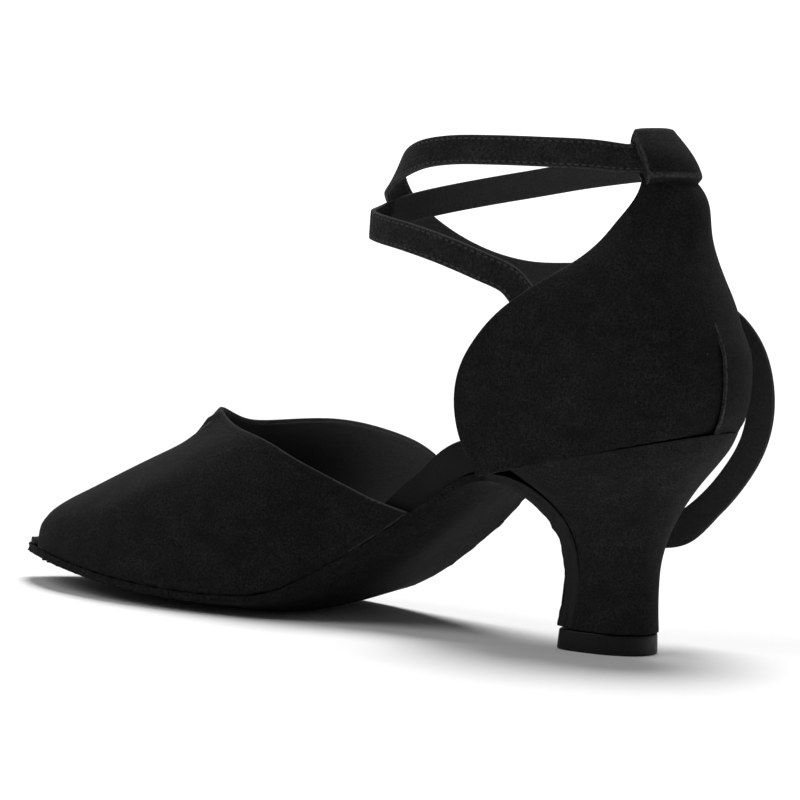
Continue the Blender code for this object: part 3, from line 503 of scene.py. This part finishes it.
mark_seams(outsole, None, on_flap)
places, normals = points_of(outsole)
from_edge = np.array([v.vector[1] for v in outsole.data.attributes["seam"].data])
# Down the heel's breast the flap's edges are pressed back into the corners of the heel.
on_breast = places[:, 2] < heel_high.z - FLAP_PRESSED_BELOW
on_breast = on_breast & (places[:, 1] < heel_high.y + FLAP_BEFORE_HEEL) & (normals[:, 1] < -0.2)
places[:, 1] -= FLAP_FILL * on_breast * bell(from_edge, FLAP_FILL_OVER)
ragged = np.sin(places[:, 0] * RAG_ACROSS + RAG_SWAY * np.sin(places[:, 1] * RAG_DRIFT))
ragged *= np.sin(places[:, 1] * RAG_ALONG)
wavy = np.sin(places[:, 1] * WAVE_ALONG + WAVE_SWAY * np.sin(places[:, 1] * WAVE_DRIFT))
level = np.abs(normals[:, 2]) < 0.6
out_by = bell(from_edge, MM) * level * (ragged * SOLE_RAGGED + wavy * SOLE_WAVY) * MM
put_points(outsole, places + normals * out_by[:, None])

# The insole: a board in smooth black leather, bare at the waist between the vamp and the counter,
# where its padded edge shows. It is cemented on the outsole.


def smooth_finish(name, dark, light, grain, depth_mm, wear, worn, rough, gloss):
    """Leather or rubber with a fine grain and an uneven gloss. Grain and wear are for a noise."""
    made, tree, shader = material(name)
    grain = noise(tree, *grain)
    wear = noise(tree, *wear)
    colour = mixed(tree, ramp(tree, grain, 0.3, 0.7), dark, light)
    tree.links.new(colour, shader.inputs["Base Color"])
    tree.links.new(ramp(tree, wear, *worn, *rough), shader.inputs["Roughness"])
    tree.links.new(bumped(tree, grain, depth_mm), shader.inputs["Normal"])
    shader.inputs["Specular IOR Level"].default_value = gloss
    return made


# Lining leather: smooth and matt, a little worn.
lining = smooth_finish(
    "black_lining_leather",
    "#080808",
    "#0f0f10",
    grain=(0.9, 4.0, 0.6),
    depth_mm=0.05,
    wear=(22.0, 2.0),
    worn=(0.3, 0.7),
    rough=(0.55, 0.70),
    gloss=0.14,
)
insole = dressed("insole_leather", "insole", lining, 0.5, 1)

# The vamp: black kid suede on a thin lining, cut low at the sides, with a peaked throat and an
# open toe. Its toplines are turned in and stitched, and its lower edge is lasted under.

UPPER_DARK = "#0a0a0a"
UPPER_LIGHT = "#2b2b2c"
UPPER_NAP = 0.62
UPPER_NAP_DEPTH = 0.20
UPPER_SHEEN = 0.035
# How much of the painted inside light the vamp's inner faces take.
VAMP_INSIDE_LIGHT_SHARE = 0.85
INSIDE_FROM = -0.2 * MM
FEATHER_BELOW = 20 * MM
TOE_RIM = 4 * MM
TOE_MOUTH = 12 * MM
# The line of the crest from the throat to the toe, in mm, and the creases on it and beside it:
# each one's shift from the crest, its height and its width.
CREST = [(-2.0, 4.0, -2.0), (-8.0, 22.0, -10.0), (-13.0, 42.0, -21.0), (-12.0, 60.0, -32.0)]
VAMP_CREASES = [
    ((0.0, 0.0, 0.0), 1.3, 4.0),
    ((9.0, 2.0, 0.0), -0.9, 6.0),
    ((-9.0, -6.0, -8.0), -0.7, 6.0),
]
# Kid suede: a fine short nap, deep black, with pale toplines, partly frayed fibres and partly a painted
# highlight.
upper_suede = suede(
    "black_kid_suede",
    UPPER_DARK,
    UPPER_LIGHT,
    UPPER_NAP,
    UPPER_NAP_DEPTH,
    UPPER_SHEEN,
    edge="#48484a",
    stitch=("#141415", 2.0, 1.9, 0.04),
)
vamp = dressed("vamp_suede", "vamp", upper_suede, 0.45, 2)
vamp_low, vamp_high = (Vector(corner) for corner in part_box("vamp"))
vamp_middle = (vamp_low.x + vamp_high.x) / 2


def vamp_core(place):
    return Vector((vamp_middle, place.y, vamp_low.z))


# Where the vamp's inner faces take the painted inside light.
def in_vamp(place, normal):
    return VAMP_INSIDE_LIGHT_SHARE * (normal.dot(place - vamp_core(place)) < INSIDE_FROM)


tuck(vamp, lambda p: p.z < FEATHER_BELOW and p.y < vamp_high.y - TOE_RIM, 1.0, 3.0)
mark_seams(vamp, lambda p: p.z > FEATHER_BELOW or p.y > vamp_high.y - TOE_MOUTH, in_vamp)
throat = max((v.co for v in vamp.data.vertices), key=lambda co: co.z).copy()
for shift, height_mm, width_mm in VAMP_CREASES:
    line = [throat + Vector(place) * MM + Vector(shift) * MM for place in CREST]
    crease(vamp, line, height_mm, width_mm, vamp_core)

# The counter: the closed back of the upper, of the same suede on the same lining, stitched along
# its front edges and lasted over the heel seat.

COUNTER_CORE = 35 * MM
SEAT_BAND = 4 * MM
NECK_FULL = 2.6 * MM
NECK_FULL_BELOW = 3.0 * MM
NECK_FULL_OVER = 8.0 * MM
NECK_BACK = 20 * MM
NECK_BACK_OVER = 12 * MM
# A trough and a ridge down the neck, in the shared frame's mm, each with its height and width.
NECK_CREASES = [
    ([(-7.3, -98.2, 123.7), (-10.0, -98.8, 115.1), (-15.3, -98.9, 106.5), (-20.3, -99.3, 98.5)], -0.6, 2.6),
    ([(-13.4, -93.6, 121.3), (-14.8, -95.8, 113.5), (-16.3, -98.1, 106.4)], 0.5, 2.2),
]
counter = dressed("counter_suede", "counter", upper_suede, 0.45, 2)
counter_low, counter_high = (Vector(corner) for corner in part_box("counter"))
heel_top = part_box("heel")[1][2]
loop_low, loop_high = (Vector(corner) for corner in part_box("strap_loop"))


def counter_core(place):
    return Vector(((counter_low.x + counter_high.x) / 2, counter_low.y + COUNTER_CORE, place.z))


# Where the counter's inner faces take the painted inside light.
def in_counter(place, normal):
    return normal.dot(place - counter_core(place)) < INSIDE_FROM


def on_seat(place):
    return place.z < heel_top + SEAT_BAND


tuck(counter, lambda p: on_seat(p) and p.y < counter_high.y - SEAT_BAND, 0.75, 4.0)
# The neck is drawn fuller just under the loop, so that the loop grows out of it.
places = points_of(counter)[0]
under_loop = bell(places[:, 2] - loop_low.z + NECK_FULL_BELOW, NECK_FULL_OVER)
at_back = fading(places[:, 1] - counter_low.y - NECK_BACK, NECK_BACK_OVER)
places[:, 1] -= NECK_FULL * under_loop * at_back
put_points(counter, places)
for line, height_mm, width_mm in NECK_CREASES:
    crease(counter, [Vector(place) * MM for place in line], height_mm, width_mm, counter_core)
mark_seams(
    counter,
    lambda p: p.z > heel_top + SEAT_BAND or p.y > counter_high.y - SEAT_BAND,
    in_counter,
)

# The back strip: a narrow facing of the same suede over the closed back seam, stitched down
# along both its edges, which stand up a little.

STRIP_FLAT_FROM = 83 * MM
STRIP_FLAT_OVER = 9 * MM
STRIP_PRESSED = 1.9 * MM
# The same kid suede, with a paler cut edge: partly its own fibres, partly a painted highlight on the raised
# edge.
strip_suede = suede(
    "black_strip_suede",
    UPPER_DARK,
    UPPER_LIGHT,
    UPPER_NAP,
    UPPER_NAP_DEPTH,
    UPPER_SHEEN,
    edge="#58585a",
    stitch=("#1a1a1b", 2.0, 1.3, 0.05),
)
strip = dressed("back_strip_suede", "back_strip", strip_suede, 0.3, 2)
tuck(strip, on_seat, 1.3, 3.5)
mark_seams(strip)
# Above the heel's curve the strip is pressed flat, so that only its lower part stands up.
places = points_of(strip)[0]
flat = np.clip((places[:, 2] - STRIP_FLAT_FROM) / STRIP_FLAT_OVER, 0, 1)
places[:, 1] += STRIP_PRESSED * flat
put_points(strip, places)

# The strap loop: the end of the neck's suede folded out over the strap and stitched down at its
# hem, which is pared thin.

LOOP_FORWARD = 1.8 * MM
LOOP_PRESSED = 1.5 * MM
LOOP_PRESSED_OVER = 4.0 * MM
LOOP_FULL = 1.9 * MM
LOOP_FULL_BELOW = 6.5 * MM
LOOP_FULL_OVER = 4.0 * MM
LOOP_BACK = 10 * MM
LOOP_BACK_OVER = 6 * MM
FOLD_ABOVE_HEM = 6 * MM
FOLD_PASSES = 70
loop = dressed("strap_loop_suede", "strap_loop", upper_suede, 0.7, 2)
mark_seams(loop)
# Its ends reach a little further round the neck, and its hem lies close against it.
places = points_of(loop)[0]
loop_middle = (loop_low.x + loop_high.x) / 2
aside = np.abs(places[:, 0] - loop_middle) / ((loop_high.x - loop_low.x) / 2)
places[:, 1] += LOOP_FORWARD * aside**2
near_hem = bell(np.maximum(places[:, 2] - loop_low.z, 0), LOOP_PRESSED_OVER)
inward = np.array((loop_middle, loop_high.y)) - places[:, :2]
inward /= np.linalg.norm(inward, axis=1)[:, None]
places[:, :2] += inward * (near_hem * LOOP_PRESSED)[:, None]
# Over the strap it swells, and its fold is rounded off.
swell = bell(places[:, 2] - loop_high.z + LOOP_FULL_BELOW, LOOP_FULL_OVER)
swell *= fading(places[:, 1] - loop_low.y - LOOP_BACK, LOOP_BACK_OVER)
places[:, :2] -= inward * (swell * LOOP_FULL)[:, None]
put_points(loop, places)
fold = loop.vertex_groups.new(name="fold")
for vertex in loop.data.vertices:
    weight = (vertex.co.z - loop_low.z) / FOLD_ABOVE_HEM
    fold.add([vertex.index], min(max(weight, 0.0), 1.0), "REPLACE")
soft = loop.modifiers.new("soft", "SMOOTH")
soft.factor = 0.5
soft.iterations = FOLD_PASSES
soft.vertex_group = fold.name
bpy.context.view_layer.objects.active = loop
bpy.ops.object.modifier_apply(modifier=soft.name)

# The heel: a hard block in a thin, close suede cover, flared at its seat and at its foot, and
# pressed up under the counter.

WINGS_FORWARD = 4.0 * MM
WINGS_LENGTH = 10 * MM
WINGS_DEPTH = 12 * MM
# A thin cover: the finest nap of the shoe, with a faint sheen.
heel_cover = suede(
    "black_heel_cover",
    "#131313",
    "#343435",
    nap_mm=0.55,
    nap_depth_mm=0.12,
    sheen=0.05,
    edge="#1c1c1d",
)
heel = dressed("heel_covered", "heel", heel_cover, 0.2, 2)
# The ends of its wings reach forward under the counter.
places = points_of(heel)[0]
ends = fading(heel_high.y - places[:, 1], WINGS_LENGTH)
ends *= fading(heel_high.z - places[:, 2], WINGS_DEPTH)
places[:, 1] += WINGS_FORWARD * ends
put_points(heel, places)
mark_seams(heel)

# The top lift: a hard rubber tap nailed under the heel, with a ground edge a little glossier
# than the cover.

# Hard rubber: finely grained and scuffed.
rubber = smooth_finish(
    "black_lift_rubber",
    "#141414",
    "#1e1e1e",
    grain=(0.5, 2.0),
    depth_mm=0.015,
    wear=(6.0, 4.0, 0.7),
    worn=(0.35, 0.65),
    rough=(0.34, 0.55),
    gloss=0.18,
)
lift = dressed("top_lift_rubber", "top_lift", rubber, 0.3, 1)

# The ankle strap: one long band of folded suede, stitched along both edges. It is sewn inside the
# counter, runs twice round the ankle and through the loop, and hangs down at the outer side.

TIP_OVER = 8.0 * MM
TIP_DRAWN = np.array((0.0, 0.5, -2.4)) * MM
# The upper's suede, painted paler: painted light that lifts the upper's shade off the strap. Its stitches
# show.
strap_suede = suede(
    "black_strap_suede",
    "#101011",
    "#383839",
    UPPER_NAP,
    UPPER_NAP_DEPTH,
    sheen=0.05,
    edge="#454547",
    stitch=("#38383a", 2.0, 1.0, 0.08),
    inside_light="#4d4d4f",
    inside_light_share=0.35,
)
strap = dressed("ankle_strap_suede", "ankle_strap", strap_suede, 0.35, 2)
# Its cut tip hangs a little further down.
places = points_of(strap)[0]
tip = fading(places[:, 2] - places[:, 2].min(), TIP_OVER)
put_points(strap, places + np.outer(tip, TIP_DRAWN))
# Painted light on the inner faces of the strap's outer part, those turned to the camera.
mark_seams(strap, None, lambda place, normal: place.x > 0 and normal.x < -0.3)
